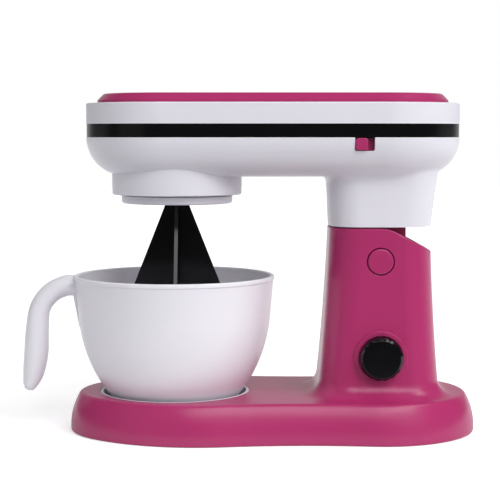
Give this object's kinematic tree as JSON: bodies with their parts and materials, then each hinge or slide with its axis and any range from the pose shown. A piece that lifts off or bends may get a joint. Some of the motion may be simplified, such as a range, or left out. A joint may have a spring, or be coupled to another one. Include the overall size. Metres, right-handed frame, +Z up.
{
  "type": "toy stand mixer",
  "caption": "Toy kitchen stand mixer: tilting head with a geared paddle drive, lift-out bowl with a hooked handle, and a long rounded base with a battery bay.",
  "frame": {"origin": "where the paddle's axis meets the surface the toy stands on", "axes": "+Z up, +X from the bowl towards the column, the front with the knob and the switch looks along -Y"},
  "size_m": [0.2733, 0.1214, 0.202],
  "materials": {
    "pink_abs": "satin moulded ABS",
    "white_abs": "satin moulded ABS",
    "white_pp": "satin moulded polypropylene",
    "black_abs": "gloss moulded ABS",
    "black_matte": "matt moulded nylon",
    "grey_abs": "matt moulded ABS",
    "natural_acetal": "natural moulded acetal",
    "zinc_steel": "zinc plated",
    "nickel_steel": "nickel plated",
    "bright_steel": "ground",
    "spring_steel": "blued strip",
    "brass": "turned",
    "cell_sleeve": "plain shrink sleeve"
  },
  "bodies": {
    "base": {"base_front_half": "pink_abs", "base_rear_half": "pink_abs", "bottom_plate": "pink_abs", "battery_door": "pink_abs", "battery_door_screw": "zinc_steel", "battery_cells": "cell_sleeve", "battery_contacts": "nickel_steel", "bowl_seat": "white_abs", "base_screws": "zinc_steel", "seat_screws": "zinc_steel", "column_screws": "zinc_steel", "lock_spring": "spring_steel", "lock_screw": "zinc_steel"},
    "head": {"head_lower_shell": "white_abs", "head_band": "black_abs", "head_upper_shell": "white_abs", "top_cover": "pink_abs", "head_screws": "zinc_steel", "hinge_block": "pink_abs", "hinge_block_screws": "zinc_steel", "gear_plate": "grey_abs", "gear_plate_screws": "zinc_steel", "gear_axle": "bright_steel", "motor_can": "nickel_steel", "motor_end_cap": "grey_abs", "motor_terminals": "brass", "motor_clamp": "zinc_steel", "motor_clamp_screws": "zinc_steel", "spindle_bush": "natural_acetal", "switch_body": "black_matte"},
    "drive": {"drive_spindle": "natural_acetal", "output_gear": "natural_acetal", "drive_disc": "white_abs", "paddle": "black_abs"},
    "layshaft": {"compound_gear": "natural_acetal"},
    "rotor": {"motor_shaft": "bright_steel", "motor_pinion": "brass"},
    "slider": {"switch_slider": "pink_abs"},
    "button": {"release_button": "pink_abs"},
    "knob": {"speed_knob": "black_abs", "knob_washer": "zinc_steel", "knob_screw": "zinc_steel"},
    "bowl": {"bowl": "white_pp"}
  },
  "joints": [
    {"name": "head_tilt", "type": "hinge", "parent": "base", "child": "head", "pos_m": [0.1203, 0, 0.1037], "axis": [0, 1, 0], "range_deg": [0, 28]},
    {"name": "drive_spin", "type": "hinge", "parent": "head", "child": "drive", "pos_m": [0, 0, 0.15], "axis": [0, 0, 1], "continuous": true},
    {"name": "layshaft_spin", "type": "hinge", "parent": "head", "child": "layshaft", "pos_m": [0.024, 0, 0.158], "axis": [0, 0, 1], "continuous": true},
    {"name": "rotor_spin", "type": "hinge", "parent": "head", "child": "rotor", "pos_m": [0.0408, 0, 0.16], "axis": [0, 0, 1], "continuous": true},
    {"name": "switch_slide", "type": "slide", "parent": "head", "child": "slider", "axis": [1, 0, 0], "range_m": [0, 0.0035]},
    {"name": "button_press", "type": "slide", "parent": "base", "child": "button", "axis": [0, 1, 0], "range_m": [0, 0.0025], "stiffness_N_per_m": 600, "springref_m": -0.0005, "deforming": ["lock_spring"]},
    {"name": "knob_turn", "type": "hinge", "parent": "base", "child": "knob", "pos_m": [0.1203, -0.034, 0.0477], "axis": [0, 1, 0], "continuous": true},
    {"name": "bowl_lift", "type": "slide", "parent": "base", "child": "bowl", "axis": [0, 0, 1], "range_m": [0, 0.014]}
  ],
  "couplings": [
    {"joint": "layshaft_spin", "follows": "drive_spin", "ratio": -5},
    {"joint": "rotor_spin", "follows": "drive_spin", "ratio": 30}
  ]
}
